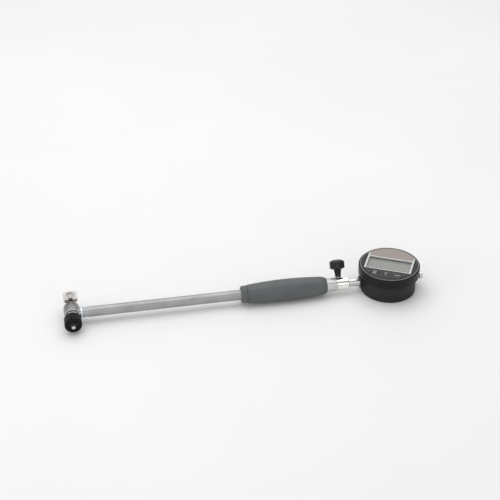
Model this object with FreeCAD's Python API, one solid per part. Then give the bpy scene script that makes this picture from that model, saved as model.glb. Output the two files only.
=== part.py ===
import FreeCAD, Part
import math
import os

# Dial bore gauge with a digital indicator clamped in its handle. Millimetres.
# The tube runs along +X from the measuring head to the indicator. The measuring
# axis is the Y axis, with the sprung contact on +Y and the fixed anvil on -Y, and
# the display faces +Z. The origin is where the measuring axis meets the tube axis.
# The gauge lies on its lower guide lobe and on the flat back of the indicator.

# Clearances
PRESS = 0.02           # radial, between pieces pressed, screwed or glued together
RUNNING = 0.05         # radial, round a shaft or pin that moves in its bore
DRIVE_GAP = 0.05       # between faces that push one another
SIDE_GAP = 0.3         # between faces that pass one another

# Measuring chain
GAUGE_SIZE = 50.0      # tip to tip with the contact at mid stroke
STROKE = 1.5           # inward travel of the contact
ANVIL_REACH = 23.5     # anvil tip from the tube axis
CONTACT_REACH = GAUGE_SIZE - ANVIL_REACH + STROKE / 2

# Head body
BARREL_D = 15.0
BARREL_FAR = 10.5
BARREL_NEAR = 4.6
BARREL_CHAMFER = 1.2
NECK_D = 12.0
NECK_LENGTH = 3.1
BLOCK_WIDTH = 9.6
BLOCK_LENGTH = 6.7
BOSS_D = 9.8
BOSS_REACH = 9.6

# Bell crank and its pin
CRANK_ARM = 4.5
CRANK_NOSE_R = 1.2
CRANK_HUB_R = 1.7
CRANK_WEB = 1.4
CRANK_THICKNESS = 2.6
PIVOT_D = 1.8
CAVITY_MARGIN = 0.8

# Contact plunger, its bush and tip
PLUNGER_D = 5.0
PLUNGER_NOSE_D = 2.4
PLUNGER_FLANGE_D = 6.2
PLUNGER_FLANGE = 0.95
BUSH_WALL = 0.75
BUSH_LENGTH = 6.8
TIP_D = 4.4
TIP_LENGTH = 2.75
TIP_STUB_D = 2.5
TIP_STUB = 3.0

# Centralising guide
GUIDE_TRAVEL = 2.2
LOBE_WIDTH = 13.2
LOBE_NEAR_WIDTH = 11.2
LOBE_NEAR = 7.8
LOBE_TOP_R = 6.8
LOBE_THICKNESS = 3.3
LOBE_RIM = 26.2
LOBE_RIM_HEIGHT = 0.4
WEB_WIDTH = 10.0
WEB_THICKNESS = 2.5
GUIDE_SCREW_Y = 13.9
GUIDE_HEAD_D = 6.6
GUIDE_HEAD = 1.3
GUIDE_SHOULDER_D = 3.4
GUIDE_THREAD_D = 2.5
GUIDE_THREAD = 2.2
SCREW_SLOT = 1.0
GUIDE_SPRING_WIRE = 0.6
GUIDE_SPRING_COILS = 5
SPRING_POCKET = 5.7

# Anvil and its lock nut
ANVIL_THREAD_D = 6.0
ANVIL_ENGAGED = 4.5
ANVIL_THREADED = 16.3
ANVIL_SHANK_D = 5.2
ANVIL_TIP_D = 3.6
ANVIL_TIP = 2.9
LOCK_WASHER_D = 15.6
LOCK_WASHER = 1.1
LOCK_NUT_D = 16.4
LOCK_NUT = 11.0
KNURLS = 40
KNURL_DEPTH = 0.35

# Union, tube and push rod
UNION_D = 9.2
UNION_LENGTH = 4.6
UNION_FLATS = 8.2
UNION_GROOVE = 0.8
UNION_GROOVE_D = 8.2
UNION_SPIGOT = 7.0
TUBE_D = 10.0
TUBE_BORE = 7.0
TUBE_END = 254.0
ROD_D = 3.0
ROD_FLANGE_D = 5.6
ROD_FLANGE = 3.0
ROD_FLANGE_X = 27.0
ROD_SPRING_WIRE = 0.6
ROD_SPRING_COILS = 10
ROD_SPRING = 16.0
ROD_BUSH_D = 5.0
ROD_BUSH = 12.0
SEAT_BUSH = 8.0
UPPER_BUSH_X = 224.0
UPPER_BUSH = 10.0

# Grip and neck
GRIP_START = 163.0
GRIP_LENGTH = 84.6
GRIP_D = 21.6
GRIP_LIP_D = 16.8
GRIP_LIP = 5.0
NECK_SLEEVE_D = 13.2
NECK_SLEEVE_START = 240.0
NECK_SLEEVE_INNER_D = 10.8
SLEEVE_END_WALL = 2.5
COLLAR_START = 257.6
COLLAR_END = 269.8
COLLAR_D = 13.0
COLLAR_LIP = 0.6

# Clamp screw
CLAMP_X = 260.5
CLAMP_TILT = 30.0
CLAMP_SCREW_D = 4.0
CLAMP_PAD_D = 3.6
CLAMP_PAD = 0.85
KNOB_D = 14.6
KNOB_HEAD = 9.0
KNOB_NECK = 7.8
KNOB_LIFT = 0.6
KNOB_FLUTES = 12
KNOB_FLUTE_R = 1.2

# Indicator: rear body
INDICATOR_X = 311.0
STEM_D = 8.0
STEM_INSERTED = 11.9
STEM_INSIDE = 2.5
REAR_D = 54.0
REAR_WALL = 2.0
REAR_BACK = 9.0
REAR_FRONT = 6.2
STEM_BOSS_D = 12.0
STEM_BOSS = 2.5
CAP_BOSS_D = 11.0
CAP_BOSS = 2.0
BOSS_INWARD = 5.0
POST_D = 4.8
POST_R = 22.0
COVER_SCREW_D = 2.0
COVER_HEAD_D = 3.8
COVER_HEAD = 1.1
COVER_SCREW = 6.2

# Indicator: spindle and scale
SPINDLE_D = 4.0
CAP_GRIP = 1.9
POINT_D = 4.6
POINT_LENGTH = 6.0
BALL_R = 1.0
POINT_STUB_D = 2.4
POINT_STUB = 2.6
SPINDLE_OUT = 7.5
UPPER_SPINDLE_BUSH_D = 6.0
CAP_D = 7.0
CAP_LENGTH = 5.2
CARRIER_BACK = 6.0
CARRIER_LENGTH = 8.0
CARRIER_WIDTH = 9.0
CARRIER_DROP = 5.0
SCALE_LENGTH = 22.0
SCALE_WIDTH = 6.8
SCALE_THICKNESS = 0.8
READER_THICKNESS = 1.0
READER_WIDTH = 16.0
GUIDE_PIN_D = 2.0
RAIL_LENGTH = 31.0
RAIL_WIDTH = 8.0
RAIL_HEIGHT = 3.0
SPINDLE_SPRING_WIRE = 0.45
SPINDLE_SPRING_COILS = 12

# Indicator: swivel
HUB_D = 18.0
HUB_BORE = 12.0
SWIVEL_WASHER = 0.4
SWIVEL_WASHER_D = 26.0
RETAINER_D = 23.0
RETAINER = 1.0
SWIVEL_SCREW_R = 7.5
SWIVEL_SCREW_D = 1.6
SWIVEL_HEAD_D = 2.6
SWIVEL_HEAD = 0.8
STOP_RADIUS = 20.0
STOP_PIN_D = 2.0
STOP_PIN = 1.5
DISPLAY_ANGLE = -27.0  # reading direction of the display, from +X
SWIVEL_MIN = -198.0
SWIVEL_MAX = 72.0
RIBBON_WIDTH = 6.0
RIBBON_THICKNESS = 0.3

# Indicator: display unit, with u to the reader's right and v up the display
DISPLAY_D = 60.0
DISPLAY_TOP = 17.0
DISPLAY_GAP = 0.5
DISPLAY_FLOOR = 2.0
DISPLAY_WALL = 2.4
FACE_D = DISPLAY_D - 2.8
FACE_THICKNESS = 1.2
BOARD_HEIGHT = 2.7
BOARD_THICKNESS = 1.2
BOARD_POST_D = 4.0
SURROUND_PROUD = 0.15
SURROUND_BORDER = 0.8
LCD_WIDTH = 0.71 * DISPLAY_D
LCD_LOW = -0.18 * DISPLAY_D
LCD_HIGH = 0.16 * DISPLAY_D
SURROUND_WIDTH = LCD_WIDTH + 3.4
SURROUND_R = FACE_D / 2 - 1.2
WINDOW_LAP = 1.0
WINDOW_THICKNESS = 0.8
LCD_LAP = 0.4
LCD_THICKNESS = 1.9
ZEBRA_WIDTH = 2.0
KEY_HIGH = LCD_LOW - 3.4
KEY_LOW = KEY_HIGH - 7.8
KEY_GAP = 1.0
KEY_HALF = 4.4
KEY_SPAN = 17.2
KEY_R = DISPLAY_D / 2 - DISPLAY_WALL - 2.0
KEY_PROUD = 0.25
KEY_FLANGE = 0.6
KEY_TRAVEL = 0.4
KEY_POST_D = 3.2
DOME_D = 5.0
DOME = 0.6
CELL_D = 11.6
CELL_HEIGHT = 5.4
CELL_V = DISPLAY_D / 2 - 10.0
DRAWER_WALL = 1.2
DRAWER_FLOOR = 0.5
CONTACT_STRIP = 0.3

# Levels and stations that follow from the sizes above
BARREL_R = BARREL_D / 2
GUIDE_FLAT = BARREL_R - SIDE_GAP
LOBE_BOTTOM = BARREL_R
LOBE_TOP = LOBE_BOTTOM + LOBE_THICKNESS
BACK_COVER = LOBE_TOP - REAR_BACK
BLOCK_END = BARREL_FAR + BLOCK_LENGTH
WEB_NEAR = BLOCK_END + GUIDE_TRAVEL + SIDE_GAP + 0.1
LOBE_CENTRE = GUIDE_SCREW_Y
NECK_END = -(BARREL_NEAR + NECK_LENGTH)
CAVITY_HALF = CRANK_THICKNESS / 2 + SIDE_GAP
CAVITY_LOW = -(CRANK_NOSE_R + CAVITY_MARGIN)
CAVITY_SIDE = CRANK_ARM + CRANK_HUB_R + SIDE_GAP
PLUNGER_INNER = CRANK_ARM + CRANK_NOSE_R + DRIVE_GAP
FLANGE_START = PLUNGER_INNER + STROKE - DRIVE_GAP
CHAMBER_LOW = FLANGE_START - STROKE - SIDE_GAP
BUSH_START = FLANGE_START + PLUNGER_FLANGE + DRIVE_GAP
BUSH_OUTER_D = PLUNGER_D + 2 * (RUNNING + BUSH_WALL)
ROD_START = CRANK_ARM + CRANK_NOSE_R + DRIVE_GAP
UNION_START = CAVITY_SIDE
UNION_END = BOSS_REACH + UNION_LENGTH
TUBE_START = UNION_END + UNION_GROOVE
SPIGOT_R = TUBE_BORE / 2 - PRESS
LOWER_BUSH_START = ROD_START + STROKE + 2 * SIDE_GAP
SEAT_BUSH_X = ROD_FLANGE_X + ROD_FLANGE + ROD_SPRING
STEM_START = COLLAR_END - STEM_INSERTED
SEAT_START = TUBE_END + SLEEVE_END_WALL
SPINDLE_END = STEM_START - SPINDLE_OUT
POINT_TIP = SPINDLE_END - POINT_LENGTH - BALL_R
ROD_END = POINT_TIP - DRIVE_GAP
REAR_R = REAR_D / 2
BOSS_END = REAR_R - REAR_WALL - BOSS_INWARD
READER_LENGTH = 2 * (BOSS_END - 2 * SIDE_GAP)
SPINDLE_TOP = REAR_R + CAP_BOSS + 2 * SIDE_GAP + CAP_GRIP
HUB_TOP = REAR_FRONT + DISPLAY_GAP + DISPLAY_FLOOR + 0.1
DISPLAY_LOW = REAR_FRONT + DISPLAY_GAP
FLOOR_TOP = DISPLAY_LOW + DISPLAY_FLOOR
FACE_LOW = DISPLAY_TOP - FACE_THICKNESS
BOARD_LOW = FLOOR_TOP + BOARD_HEIGHT
BOARD_TOP = BOARD_LOW + BOARD_THICKNESS
WINDOW_LOW = FACE_LOW - WINDOW_THICKNESS
LCD_TOP = WINDOW_LOW - 0.1
LCD_BASE = LCD_TOP - LCD_THICKNESS
KEY_CENTRES = [(-(KEY_HALF + KEY_GAP + KEY_SPAN) / 2, (KEY_LOW + KEY_HIGH) / 2),
               (0.0, (KEY_LOW + KEY_HIGH) / 2),
               ((KEY_HALF + KEY_GAP + KEY_SPAN) / 2, (KEY_LOW + KEY_HIGH) / 2)]
DRAWER_HALF = CELL_D / 2 + DRAWER_WALL
DRAWER_INNER = CELL_V - CELL_D / 2 - DRAWER_WALL
DRAWER_LOW = FLOOR_TOP + SIDE_GAP
DRAWER_TOP = DRAWER_LOW + DRAWER_FLOOR + CELL_HEIGHT + 2 * PRESS

X_AXIS = FreeCAD.Vector(1, 0, 0)
Y_AXIS = FreeCAD.Vector(0, 1, 0)
Z_AXIS = FreeCAD.Vector(0, 0, 1)
ORIGIN = FreeCAD.Vector(0, 0, 0)


def rod_x(diameter, start, end, y=0.0, z=0.0):
    return Part.makeCylinder(diameter / 2, end - start, FreeCAD.Vector(start, y, z), X_AXIS)


def rod_y(diameter, start, end, x=0.0, z=0.0):
    return Part.makeCylinder(diameter / 2, end - start, FreeCAD.Vector(x, start, z), Y_AXIS)


def rod_z(diameter, start, end, x=0.0, y=0.0):
    return Part.makeCylinder(diameter / 2, end - start, FreeCAD.Vector(x, y, start), Z_AXIS)


def block(x_range, y_range, z_range):
    corner = FreeCAD.Vector(x_range[0], y_range[0], z_range[0])
    sides = [pair[1] - pair[0] for pair in (x_range, y_range, z_range)]
    return Part.makeBox(*sides, corner)


def turned(profile, axis):
    """Revolve (station, radius) points about a row axis: closed through the last point."""
    across = Z_AXIS if axis != Z_AXIS else X_AXIS
    points = [axis * station + across * radius for station, radius in profile]
    outline = Part.makePolygon(points + [points[0]])
    return Part.Face(outline).revolve(ORIGIN, axis, 360)


def coil_spring(mean_radius, wire, length, turns):
    """A helical compression spring standing on the XY plane."""
    helix = Part.makeHelix((length - wire) / turns, length - wire, mean_radius)
    section = Part.Wire(Part.makeCircle(wire / 2, FreeCAD.Vector(mean_radius, 0, 0), Y_AXIS))
    coil = Part.Wire(helix.Edges).makePipeShell([section], True, True)
    coil.translate(FreeCAD.Vector(0, 0, wire / 2))
    return coil


def mirrored_pair(solid):
    """The solid and its mirror image in the XY plane."""
    return [solid, solid.mirror(ORIGIN, Z_AXIS)]


def on_clamp_axis(shape):
    """Stand a shape drawn up the Z axis on the tilted clamp screw's axis."""
    shape.rotate(ORIGIN, X_AXIS, -CLAMP_TILT)
    shape.translate(FreeCAD.Vector(CLAMP_X, 0, 0))
    return shape


def at_indicator(shape):
    shape.translate(FreeCAD.Vector(INDICATOR_X, 0, 0))
    return shape


def on_display(shape):
    """Turn a shape drawn in the display's u, v axes to where the display reads."""
    shape.rotate(ORIGIN, Z_AXIS, DISPLAY_ANGLE)
    return at_indicator(shape)


# Measuring head

def measuring_head_body():
    barrel = turned([(-BARREL_NEAR, 0), (-BARREL_NEAR, BARREL_R - 0.4), (-BARREL_NEAR + 0.4, BARREL_R),
                     (BARREL_FAR - BARREL_CHAMFER, BARREL_R),
                     (BARREL_FAR, BARREL_R - BARREL_CHAMFER), (BARREL_FAR, 0)], Y_AXIS)
    neck = rod_y(NECK_D, NECK_END, -BARREL_NEAR)
    half = BLOCK_WIDTH / 2
    guide_block = block((-half, half), (0, BLOCK_END), (-BARREL_R, BARREL_R))
    guide_block = guide_block.common(rod_y(BARREL_D, 0, BLOCK_END))
    boss = rod_x(BOSS_D, 0, BOSS_REACH)
    body = barrel.fuse([neck, guide_block, boss]).removeSplitter()
    flats_start = LOBE_NEAR - GUIDE_TRAVEL - 2 * SIDE_GAP
    above_flat = block((-BARREL_D, BARREL_D), (flats_start, BLOCK_END + 1), (GUIDE_FLAT, BARREL_D))
    cavity = block((CAVITY_LOW, CAVITY_SIDE), (CAVITY_LOW, CAVITY_SIDE), (-CAVITY_HALF, CAVITY_HALF))
    chamber = rod_y(PLUNGER_FLANGE_D + 2 * SIDE_GAP, CHAMBER_LOW, BUSH_START)
    bush_hole = rod_y(BUSH_OUTER_D + 2 * PRESS, BUSH_START, BLOCK_END)
    pocket = rod_y(spring_pocket_d(), BLOCK_END - SPRING_POCKET, BLOCK_END)
    anvil_hole = rod_y(ANVIL_THREAD_D + 2 * RUNNING, NECK_END, NECK_END + ANVIL_ENGAGED + SIDE_GAP)
    union_hole = rod_x(TUBE_BORE, UNION_START, BOSS_REACH)
    pivot_hole = rod_z(PIVOT_D + 2 * PRESS, -BARREL_D, BARREL_D, CRANK_ARM, CRANK_ARM)
    screw_hole = rod_z(GUIDE_THREAD_D + 2 * PRESS, GUIDE_FLAT - GUIDE_THREAD, GUIDE_FLAT, 0, GUIDE_SCREW_Y)
    holes = [cavity, chamber, bush_hole, pocket, anvil_hole, union_hole, pivot_hole]
    return body.cut(holes + mirrored_pair(above_flat) + mirrored_pair(screw_hole))


def spring_pocket_d():
    return BUSH_OUTER_D + 2 * GUIDE_SPRING_WIRE + 1.0


def crank_pivot_pin():
    half = math.sqrt(BARREL_R ** 2 - CRANK_ARM ** 2) - 0.1
    return rod_z(PIVOT_D, -half, half, CRANK_ARM, CRANK_ARM)


def bell_crank():
    half = CRANK_THICKNESS / 2
    web = CRANK_WEB / 2
    hub = rod_z(2 * CRANK_HUB_R, -half, half, CRANK_ARM, CRANK_ARM)
    noses = [rod_z(2 * CRANK_NOSE_R, -half, half, x, y) for x, y in ((0, CRANK_ARM), (CRANK_ARM, 0))]
    arms = [block((0, CRANK_ARM), (CRANK_ARM - web, CRANK_ARM + web), (-half, half)),
            block((CRANK_ARM - web, CRANK_ARM + web), (0, CRANK_ARM), (-half, half))]
    solid = hub.fuse(noses + arms).removeSplitter()
    return solid.cut(rod_z(PIVOT_D + 2 * RUNNING, -half, half, CRANK_ARM, CRANK_ARM))


def plunger_bush():
    return rod_y(BUSH_OUTER_D, BUSH_START, BUSH_START + BUSH_LENGTH).cut(
        rod_y(PLUNGER_D + 2 * RUNNING, BUSH_START, BUSH_START + BUSH_LENGTH))


def contact_plunger():
    end = CONTACT_REACH - TIP_LENGTH
    body = turned([(PLUNGER_INNER, 0), (PLUNGER_INNER, PLUNGER_NOSE_D / 2),
                   (FLANGE_START, PLUNGER_NOSE_D / 2), (FLANGE_START, PLUNGER_FLANGE_D / 2),
                   (FLANGE_START + PLUNGER_FLANGE, PLUNGER_FLANGE_D / 2),
                   (FLANGE_START + PLUNGER_FLANGE, PLUNGER_D / 2), (end, PLUNGER_D / 2), (end, 0)], Y_AXIS)
    return body.cut(rod_y(TIP_STUB_D + 2 * PRESS, end - TIP_STUB - PRESS, end))


def contact_tip():
    start = CONTACT_REACH - TIP_LENGTH
    button = rod_y(TIP_D, start, CONTACT_REACH)
    dome = Part.makeSphere(TIP_D, FreeCAD.Vector(0, CONTACT_REACH - TIP_D, 0))
    return button.common(dome).fuse(rod_y(TIP_STUB_D, start - TIP_STUB, start)).removeSplitter()


def guide_yoke():
    half, near_half = LOBE_WIDTH / 2, LOBE_NEAR_WIDTH / 2
    corner_y = LOBE_NEAR + (half - near_half)
    rim_r = LOBE_RIM - LOBE_CENTRE
    side_y = LOBE_CENTRE + math.sqrt(rim_r ** 2 - half ** 2)
    rim = Part.Arc(FreeCAD.Vector(half, side_y, 0), FreeCAD.Vector(0, LOBE_RIM, 0),
                   FreeCAD.Vector(-half, side_y, 0)).toShape()
    sides = Part.makePolygon([FreeCAD.Vector(x, y, 0) for x, y in (
        (-half, side_y), (-half, corner_y), (-near_half, LOBE_NEAR),
        (near_half, LOBE_NEAR), (half, corner_y), (half, side_y))])
    plan = Part.Face(Part.Wire(sides.Edges + [rim]))
    plan.translate(FreeCAD.Vector(0, 0, LOBE_BOTTOM))
    lobe = plan.extrude(FreeCAD.Vector(0, 0, LOBE_THICKNESS))
    slope = (rim_r - LOBE_TOP_R) / (LOBE_THICKNESS - LOBE_RIM_HEIGHT)
    cone = Part.makeCone(LOBE_TOP_R + slope * LOBE_THICKNESS, LOBE_TOP_R, LOBE_THICKNESS,
                         FreeCAD.Vector(0, LOBE_CENTRE, LOBE_BOTTOM), Z_AXIS)
    near_part = block((-half, half), (0, LOBE_CENTRE), (LOBE_BOTTOM, LOBE_TOP))
    lobe = lobe.common(cone.fuse(near_part))
    slot_half = GUIDE_SHOULDER_D / 2 + 0.2
    slot_end = GUIDE_SCREW_Y + GUIDE_TRAVEL
    head_half = GUIDE_HEAD_D / 2 + SIDE_GAP
    recess_low = LOBE_TOP - GUIDE_HEAD - 0.2
    tools = [block((-slot_half, slot_half), (0, slot_end), (LOBE_BOTTOM, LOBE_TOP)),
             rod_z(2 * slot_half, LOBE_BOTTOM, LOBE_TOP, 0, slot_end),
             block((-head_half, head_half), (GUIDE_SCREW_Y, slot_end), (recess_low, LOBE_TOP)),
             rod_z(2 * head_half, recess_low, LOBE_TOP, 0, GUIDE_SCREW_Y),
             rod_z(2 * head_half, recess_low, LOBE_TOP, 0, slot_end)]
    lobe = lobe.cut(tools)
    web = block((-WEB_WIDTH / 2, WEB_WIDTH / 2), (WEB_NEAR, WEB_NEAR + WEB_THICKNESS),
                (-LOBE_BOTTOM - 0.1, LOBE_BOTTOM + 0.1))
    yoke = web.fuse(mirrored_pair(lobe)).removeSplitter()
    return yoke.cut(rod_y(PLUNGER_D + 2 * SIDE_GAP, WEB_NEAR, WEB_NEAR + WEB_THICKNESS))


def guide_screws():
    head_low = LOBE_TOP - GUIDE_HEAD - 0.1
    screw = turned([(GUIDE_FLAT - GUIDE_THREAD, 0), (GUIDE_FLAT - GUIDE_THREAD, GUIDE_THREAD_D / 2),
                    (GUIDE_FLAT, GUIDE_THREAD_D / 2), (GUIDE_FLAT, GUIDE_SHOULDER_D / 2),
                    (head_low, GUIDE_SHOULDER_D / 2), (head_low, GUIDE_HEAD_D / 2),
                    (head_low + GUIDE_HEAD, GUIDE_HEAD_D / 2), (head_low + GUIDE_HEAD, 0)], Z_AXIS)
    slot = block((-SCREW_SLOT / 2, SCREW_SLOT / 2), (-GUIDE_HEAD_D, GUIDE_HEAD_D),
                 (head_low + GUIDE_HEAD / 2, LOBE_TOP))
    screw = screw.cut(slot)
    screw.translate(FreeCAD.Vector(0, GUIDE_SCREW_Y, 0))
    return Part.makeCompound(mirrored_pair(screw))


def guide_spring():
    start = BLOCK_END - SPRING_POCKET
    mean_radius = (BUSH_OUTER_D + spring_pocket_d()) / 4
    spring = coil_spring(mean_radius, GUIDE_SPRING_WIRE, WEB_NEAR - start, GUIDE_SPRING_COILS)
    spring.rotate(ORIGIN, X_AXIS, -90)
    spring.translate(FreeCAD.Vector(0, start, 0))
    return spring


# Anvil side

def anvil():
    inner = NECK_END + ANVIL_ENGAGED
    threaded_end = inner - ANVIL_THREADED
    shank_end = -(ANVIL_REACH - ANVIL_TIP)
    body = turned([(inner, 0), (inner, ANVIL_THREAD_D / 2), (threaded_end, ANVIL_THREAD_D / 2),
                   (threaded_end, ANVIL_SHANK_D / 2), (shank_end + 0.4, ANVIL_SHANK_D / 2),
                   (shank_end, ANVIL_SHANK_D / 2 - 0.4), (shank_end, 0)], Y_AXIS)
    return body.cut(rod_y(2.0 + 2 * PRESS, shank_end, shank_end + 2.0 + PRESS))


def anvil_tip():
    shank_end = -(ANVIL_REACH - ANVIL_TIP)
    button = rod_y(ANVIL_TIP_D, -ANVIL_REACH, shank_end)
    dome = Part.makeSphere(ANVIL_TIP_D, FreeCAD.Vector(0, -ANVIL_REACH + ANVIL_TIP_D, 0))
    return button.common(dome).fuse(rod_y(2.0, shank_end, shank_end + 2.0)).removeSplitter()


def lock_washer():
    near = NECK_END - DRIVE_GAP
    return rod_y(LOCK_WASHER_D, near - LOCK_WASHER, near).cut(
        rod_y(ANVIL_THREAD_D + 2 * RUNNING, near - LOCK_WASHER, near))


def anvil_lock_nut():
    far = NECK_END - DRIVE_GAP - LOCK_WASHER - DRIVE_GAP
    radius = LOCK_NUT_D / 2
    nut = turned([(far, 0), (far, radius - 0.6), (far - 0.6, radius), (far - LOCK_NUT + 0.8, radius),
                  (far - LOCK_NUT, radius - 0.8), (far - LOCK_NUT, 0)], Y_AXIS)
    groove = Part.makeBox(KNURL_DEPTH, LOCK_NUT, KNURL_DEPTH)
    groove.rotate(ORIGIN, Y_AXIS, 45)
    groove.translate(FreeCAD.Vector(radius - KNURL_DEPTH * math.sqrt(0.5), far - LOCK_NUT, 0))
    grooves = []
    for number in range(KNURLS):
        copy = groove.copy()
        copy.rotate(ORIGIN, Y_AXIS, 360 * number / KNURLS)
        grooves.append(copy)
    return nut.cut(grooves + [rod_y(ANVIL_THREAD_D + 2 * RUNNING, far - LOCK_NUT, far)])


# Union, tube, push rod and its bushes

def union_sleeve():
    groove_r = UNION_GROOVE_D / 2
    end = TUBE_START + UNION_SPIGOT
    sleeve = turned([(UNION_START, 0), (UNION_START, SPIGOT_R), (BOSS_REACH, SPIGOT_R),
                     (BOSS_REACH, UNION_D / 2), (UNION_END, UNION_D / 2), (UNION_END, groove_r),
                     (TUBE_START, groove_r), (TUBE_START, SPIGOT_R), (end, SPIGOT_R), (end, 0)], X_AXIS)
    flat = block((BOSS_REACH + 0.7, UNION_END - 0.6), (-UNION_D, UNION_D), (UNION_FLATS / 2, UNION_D))
    bush_end = LOWER_BUSH_START + ROD_BUSH
    return sleeve.cut([rod_x(ROD_BUSH_D + 4 * PRESS, UNION_START, bush_end),
                       rod_x(ROD_D + 1.0, bush_end, end)] + mirrored_pair(flat))


def rod_bush(outer_d, start, length):
    return rod_x(outer_d, start, start + length).cut(rod_x(ROD_D + 2 * RUNNING, start, start + length))


def stem_tube():
    return rod_x(TUBE_D, TUBE_START, TUBE_END).cut(rod_x(TUBE_BORE, TUBE_START, TUBE_END))


def push_rod():
    return rod_x(ROD_D, ROD_START, ROD_END).fuse(
        rod_x(ROD_FLANGE_D, ROD_FLANGE_X, ROD_FLANGE_X + ROD_FLANGE)).removeSplitter()


def push_rod_spring():
    start = ROD_FLANGE_X + ROD_FLANGE
    mean_radius = (ROD_FLANGE_D - ROD_SPRING_WIRE) / 2 - 0.1
    spring = coil_spring(mean_radius, ROD_SPRING_WIRE, ROD_SPRING, ROD_SPRING_COILS)
    spring.rotate(ORIGIN, Y_AXIS, 90)
    spring.translate(FreeCAD.Vector(start, 0, 0))
    return spring


# Grip and clamp

def grip_sleeve():
    lip_r, full_r = GRIP_LIP_D / 2, GRIP_D / 2
    start, end = GRIP_START, GRIP_START + GRIP_LENGTH
    body_start, body_end = start + GRIP_LIP + 1.0, end - 7.6
    start_r, end_r, last_r = full_r - 1.9, full_r - 1.55, NECK_SLEEVE_D / 2 + 0.9
    swell = Part.Arc(FreeCAD.Vector(body_start, 0, start_r),
                     FreeCAD.Vector((body_start + body_end) / 2, 0, full_r),
                     FreeCAD.Vector(body_end, 0, end_r)).toShape()
    shoulder = Part.Arc(FreeCAD.Vector(body_end, 0, end_r), FreeCAD.Vector(end - 2.3, 0, last_r + 1.0),
                        FreeCAD.Vector(end, 0, last_r)).toShape()
    before = Part.makePolygon([FreeCAD.Vector(x, 0, r) for x, r in (
        (start, 0), (start, lip_r - 0.8), (start + 0.8, lip_r), (start + GRIP_LIP, lip_r + 0.2),
        (start + GRIP_LIP + 0.1, lip_r - 0.2), (start + GRIP_LIP + 0.6, lip_r - 0.2),
        (body_start, start_r))])
    after = Part.makePolygon([FreeCAD.Vector(end, 0, last_r), FreeCAD.Vector(end, 0, 0),
                              FreeCAD.Vector(start, 0, 0)])
    outline = Part.Wire(before.Edges + [swell, shoulder] + after.Edges)
    grip = Part.Face(outline).revolve(ORIGIN, X_AXIS, 360)
    return grip.cut([rod_x(TUBE_D + 2 * PRESS, start, NECK_SLEEVE_START),
                     rod_x(NECK_SLEEVE_D + 2 * PRESS, NECK_SLEEVE_START, end)])


def neck_sleeve():
    sleeve = rod_x(NECK_SLEEVE_D, NECK_SLEEVE_START, COLLAR_START).fuse(
        rod_x(NECK_SLEEVE_INNER_D, COLLAR_START, COLLAR_END - COLLAR_LIP - PRESS)).removeSplitter()
    return sleeve.cut([rod_x(TUBE_D + 2 * PRESS, NECK_SLEEVE_START, TUBE_END),
                       rod_x(TUBE_BORE, TUBE_END, SEAT_START),
                       rod_x(STEM_D + 2 * RUNNING, SEAT_START, COLLAR_END),
                       on_clamp_axis(rod_z(CLAMP_SCREW_D + 2 * RUNNING, 0, NECK_SLEEVE_D))])


def clamp_collar():
    radius = COLLAR_D / 2
    ring = turned([(COLLAR_START, 0), (COLLAR_START, radius - 0.3), (COLLAR_START + 0.3, radius),
                   (COLLAR_END - 0.5, radius), (COLLAR_END, radius - 0.5), (COLLAR_END, 0)], X_AXIS)
    return ring.cut([rod_x(NECK_SLEEVE_INNER_D + 2 * PRESS, COLLAR_START, COLLAR_END - COLLAR_LIP),
                     rod_x(STEM_D + 2 * SIDE_GAP, COLLAR_START, COLLAR_END),
                     on_clamp_axis(rod_z(CLAMP_SCREW_D + 2 * RUNNING, 0, COLLAR_D))])


def clamp_pad():
    low = STEM_D / 2 + DRIVE_GAP
    return on_clamp_axis(rod_z(CLAMP_PAD_D, low, low + CLAMP_PAD))


def clamp_screw_start():
    return STEM_D / 2 + 2 * DRIVE_GAP + CLAMP_PAD


def clamp_screw_end():
    return COLLAR_D / 2 + KNOB_LIFT + KNOB_NECK


def clamp_screw():
    return on_clamp_axis(rod_z(CLAMP_SCREW_D, clamp_screw_start(), clamp_screw_end()))


def clamp_knob():
    low = COLLAR_D / 2 + KNOB_LIFT
    head_low = low + KNOB_NECK
    top = head_low + KNOB_HEAD
    radius = KNOB_D / 2
    knob = turned([(low, 0), (low, 3.0), (low + 2.0, 2.9), (head_low - 0.8, 3.7), (head_low, radius - 1.6),
                   (head_low + 1.0, radius), (top - 2.2, radius), (top - 0.9, radius - 1.0),
                   (top, radius - 3.6), (top + 0.2, 0)], Z_AXIS)
    flutes = []
    for number in range(KNOB_FLUTES):
        angle = 2 * math.pi * number / KNOB_FLUTES
        reach = radius + KNOB_FLUTE_R * 0.62
        flutes.append(rod_z(2 * KNOB_FLUTE_R, head_low - 1, top + 1,
                            reach * math.cos(angle), reach * math.sin(angle)))
    knob = knob.cut(flutes + [rod_z(CLAMP_SCREW_D + 2 * PRESS, low, clamp_screw_end() + PRESS)])
    return on_clamp_axis(knob)


# Indicator: rear body

def post_places():
    reach = POST_R * math.sqrt(0.5)
    return [(sx * reach, sy * reach) for sx in (-1, 1) for sy in (-1, 1)]


def swivel_screw_places():
    return [(SWIVEL_SCREW_R * math.cos(turn), SWIVEL_SCREW_R * math.sin(turn))
            for turn in (math.pi * (2 * number / 3 + 0.5) for number in range(3))]


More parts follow.
